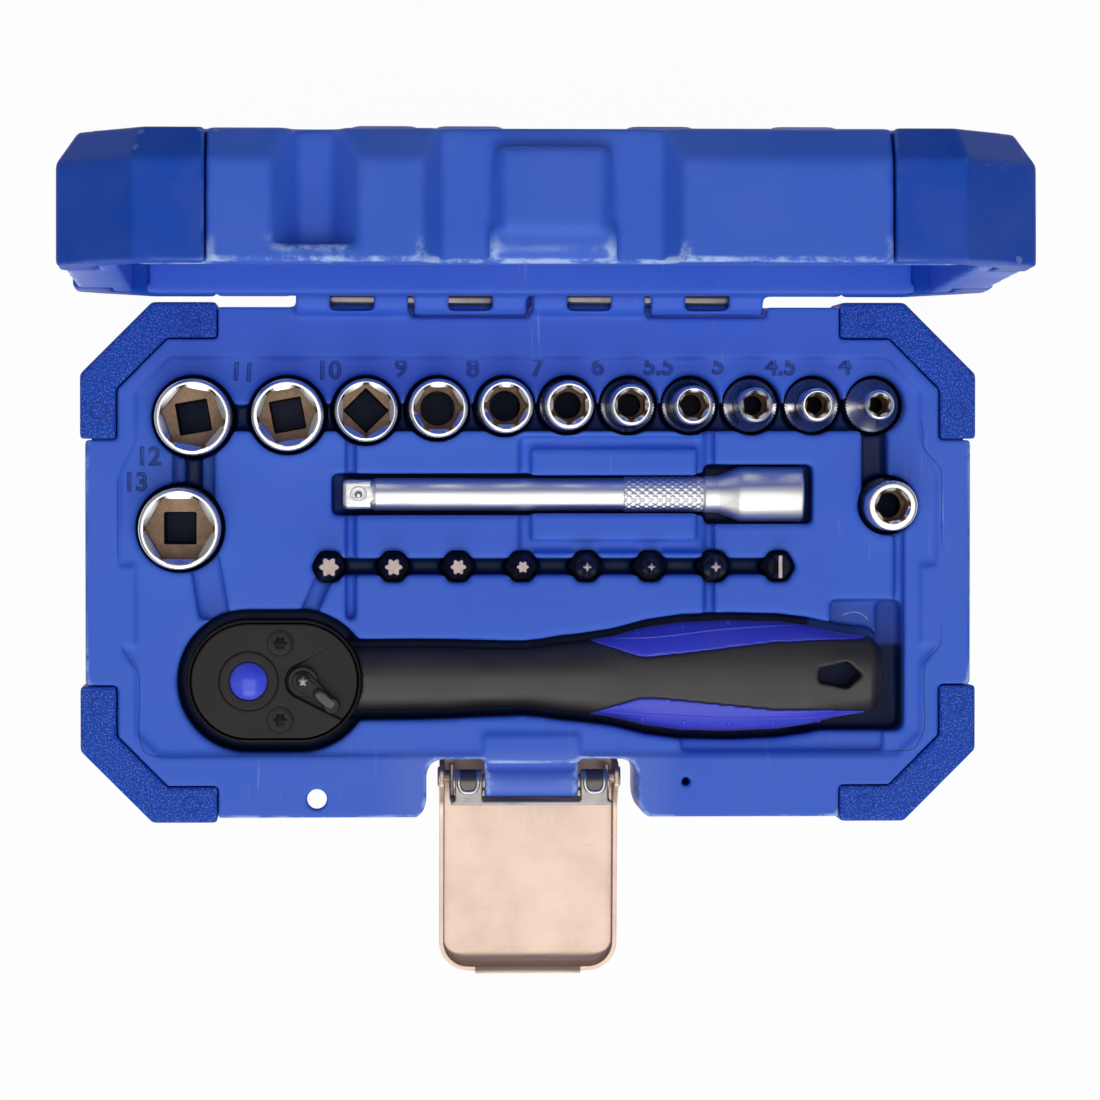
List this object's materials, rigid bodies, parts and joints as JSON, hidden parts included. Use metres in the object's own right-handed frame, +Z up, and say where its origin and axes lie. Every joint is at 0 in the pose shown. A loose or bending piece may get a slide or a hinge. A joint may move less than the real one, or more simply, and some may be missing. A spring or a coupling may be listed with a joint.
{
  "type": "socket wrench set",
  "caption": "Socket wrench set in a hinged blue plastic case: reversible ratchet, extension bar, hexagon sockets, bit adapter and bits in moulded pockets, with a steel draw latch.",
  "frame": {"origin": "centre of the base's flat underside", "axes": "+X along the long side, +Y from the latch to the hinge, +Z up"},
  "size_m": [0.195, 0.1811, 0.1441],
  "materials": {
    "case_plastic": "blow-moulded polyethylene, fine matte",
    "guard_plastic": "grained polypropylene",
    "latch_steel": "nickel-plated sheet steel",
    "pin_steel": "bright steel wire",
    "black_metal": "matt black",
    "black_plastic": "fine matte",
    "grip_rubber": "soft satin",
    "button_plastic": "smooth",
    "satin_chrome": "satin chrome",
    "bit_steel": "black oxide"
  },
  "bodies": {
    "base": {"base_tray": "case_plastic", "tool_insert": "case_plastic", "base_corner_front_left": "guard_plastic", "base_corner_front_right": "guard_plastic", "base_corner_back_left": "guard_plastic", "base_corner_back_right": "guard_plastic", "hinge_pin_left": "pin_steel", "hinge_pin_right": "pin_steel", "latch_pin": "latch_steel"},
    "lid": {"lid_shell": "case_plastic", "lid_corner_front_left": "guard_plastic", "lid_corner_front_right": "guard_plastic", "lid_corner_back_left": "guard_plastic", "lid_corner_back_right": "guard_plastic"},
    "latch_link": {"latch_link": "latch_steel", "latch_rivets": "latch_steel"},
    "latch_lever": {"latch_lever": "latch_steel"},
    "ratchet": {"ratchet_body": "black_metal", "ratchet_cover": "black_metal", "cover_screws": "black_metal", "pawl_plunger": "pin_steel", "pawl_spring": "pin_steel", "handle_core": "black_plastic", "grip_back": "grip_rubber", "grip_front": "grip_rubber"},
    "drive": {"drive_gear": "black_metal", "release_spring": "pin_steel"},
    "release_button": {"release_button": "button_plastic"},
    "drive_ball": {"drive_ball": "pin_steel"},
    "reverse_lever": {"reverse_lever": "black_metal"},
    "pawl": {"pawl": "black_metal"},
    "extension": {"extension_bar": "satin_chrome", "extension_spring": "pin_steel"},
    "extension_ball": {"extension_ball": "pin_steel"},
    "socket_13": {"socket_13": "satin_chrome"},
    "socket_12": {"socket_12": "satin_chrome"},
    "socket_11": {"socket_11": "satin_chrome"},
    "socket_10": {"socket_10": "satin_chrome"},
    "socket_9": {"socket_9": "satin_chrome"},
    "socket_8": {"socket_8": "satin_chrome"},
    "socket_7": {"socket_7": "satin_chrome"},
    "socket_6": {"socket_6": "satin_chrome"},
    "socket_5_5": {"socket_5_5": "satin_chrome"},
    "socket_5": {"socket_5": "satin_chrome"},
    "socket_4_5": {"socket_4_5": "satin_chrome"},
    "socket_4": {"socket_4": "satin_chrome"},
    "bit_adapter": {"bit_adapter": "satin_chrome"},
    "bit_1": {"bit_1": "bit_steel"},
    "bit_2": {"bit_2": "bit_steel"},
    "bit_3": {"bit_3": "bit_steel"},
    "bit_4": {"bit_4": "bit_steel"},
    "bit_5": {"bit_5": "bit_steel"},
    "bit_6": {"bit_6": "bit_steel"},
    "bit_7": {"bit_7": "bit_steel"},
    "bit_8": {"bit_8": "bit_steel"}
  },
  "joints": [
    {"name": "lid_hinge", "type": "hinge", "parent": "base", "child": "lid", "pos_m": [0, 0.0574, 0.0302], "axis": [-1, 0, 0], "range_deg": [-92, 0]},
    {"name": "latch_link_swing", "type": "hinge", "parent": "base", "child": "latch_link", "pos_m": [0.0006, -0.0482, 0.0244], "axis": [-1, 0, 0], "range_deg": [0, 75]},
    {"name": "latch_lever_swing", "type": "hinge", "parent": "latch_link", "child": "latch_lever", "pos_m": [0.0006, -0.0478, 0.0114], "axis": [1, 0, 0], "range_deg": [-95.5, 0]},
    {"name": "ratchet_lift", "type": "slide", "parent": "base", "child": "ratchet", "axis": [0, 0, 1], "range_m": [0, 0.04]},
    {"name": "drive_spin", "type": "hinge", "parent": "ratchet", "child": "drive", "pos_m": [-0.06105, -0.02575, 0.024], "axis": [0, 0, 1], "continuous": true},
    {"name": "release_press", "type": "slide", "parent": "drive", "child": "release_button", "axis": [0, 0, 1], "range_m": [-0.0015, 0], "stiffness_N_per_m": 600, "springref_m": 0.001, "deforming": ["release_spring"]},
    {"name": "drive_ball_slide", "type": "slide", "parent": "drive", "child": "drive_ball", "axis": [1, 0, 0], "range_m": [-0.00045, 0]},
    {"name": "reverse_flip", "type": "hinge", "parent": "ratchet", "child": "reverse_lever", "pos_m": [-0.04925, -0.02575, 0.024], "axis": [0, 0, 1], "range_deg": [0, 80]},
    {"name": "pawl_tilt", "type": "hinge", "parent": "ratchet", "child": "pawl", "pos_m": [-0.04925, -0.02575, 0.024], "axis": [0, 0, 1], "range_deg": [0, 6.4]},
    {"name": "extension_lift", "type": "slide", "parent": "base", "child": "extension", "axis": [0, 0, 1], "range_m": [0, 0.04]},
    {"name": "extension_ball_press", "type": "slide", "parent": "extension", "child": "extension_ball", "axis": [0, 0, 1], "range_m": [-0.0004, 0], "stiffness_N_per_m": 300, "springref_m": 0.0005, "deforming": ["extension_spring"]},
    {"name": "socket_13_lift", "type": "slide", "parent": "base", "child": "socket_13", "axis": [0, 0, 1], "range_m": [0, 0.04]},
    {"name": "socket_12_lift", "type": "slide", "parent": "base", "child": "socket_12", "axis": [0, 0, 1], "range_m": [0, 0.04]},
    {"name": "socket_11_lift", "type": "slide", "parent": "base", "child": "socket_11", "axis": [0, 0, 1], "range_m": [0, 0.04]},
    {"name": "socket_10_lift", "type": "slide", "parent": "base", "child": "socket_10", "axis": [0, 0, 1], "range_m": [0, 0.04]},
    {"name": "socket_9_lift", "type": "slide", "parent": "base", "child": "socket_9", "axis": [0, 0, 1], "range_m": [0, 0.04]},
    {"name": "socket_8_lift", "type": "slide", "parent": "base", "child": "socket_8", "axis": [0, 0, 1], "range_m": [0, 0.04]},
    {"name": "socket_7_lift", "type": "slide", "parent": "base", "child": "socket_7", "axis": [0, 0, 1], "range_m": [0, 0.04]},
    {"name": "socket_6_lift", "type": "slide", "parent": "base", "child": "socket_6", "axis": [0, 0, 1], "range_m": [0, 0.04]},
    {"name": "socket_5_5_lift", "type": "slide", "parent": "base", "child": "socket_5_5", "axis": [0, 0, 1], "range_m": [0, 0.04]},
    {"name": "socket_5_lift", "type": "slide", "parent": "base", "child": "socket_5", "axis": [0, 0, 1], "range_m": [0, 0.04]},
    {"name": "socket_4_5_lift", "type": "slide", "parent": "base", "child": "socket_4_5", "axis": [0, 0, 1], "range_m": [0, 0.04]},
    {"name": "socket_4_lift", "type": "slide", "parent": "base", "child": "socket_4", "axis": [0, 0, 1], "range_m": [0, 0.04]},
    {"name": "bit_adapter_lift", "type": "slide", "parent": "base", "child": "bit_adapter", "axis": [0, 0, 1], "range_m": [0, 0.04]},
    {"name": "bit_1_lift", "type": "slide", "parent": "base", "child": "bit_1", "axis": [0, 0, 1], "range_m": [0, 0.04]},
    {"name": "bit_2_lift", "type": "slide", "parent": "base", "child": "bit_2", "axis": [0, 0, 1], "range_m": [0, 0.04]},
    {"name": "bit_3_lift", "type": "slide", "parent": "base", "child": "bit_3", "axis": [0, 0, 1], "range_m": [0, 0.04]},
    {"name": "bit_4_lift", "type": "slide", "parent": "base", "child": "bit_4", "axis": [0, 0, 1], "range_m": [0, 0.04]},
    {"name": "bit_5_lift", "type": "slide", "parent": "base", "child": "bit_5", "axis": [0, 0, 1], "range_m": [0, 0.04]},
    {"name": "bit_6_lift", "type": "slide", "parent": "base", "child": "bit_6", "axis": [0, 0, 1], "range_m": [0, 0.04]},
    {"name": "bit_7_lift", "type": "slide", "parent": "base", "child": "bit_7", "axis": [0, 0, 1], "range_m": [0, 0.04]},
    {"name": "bit_8_lift", "type": "slide", "parent": "base", "child": "bit_8", "axis": [0, 0, 1], "range_m": [0, 0.04]}
  ],
  "couplings": [
    {"joint": "drive_ball_slide", "follows": "release_press", "ratio": 0.3},
    {"joint": "pawl_tilt", "follows": "reverse_flip", "ratio": 0.08}
  ]
}
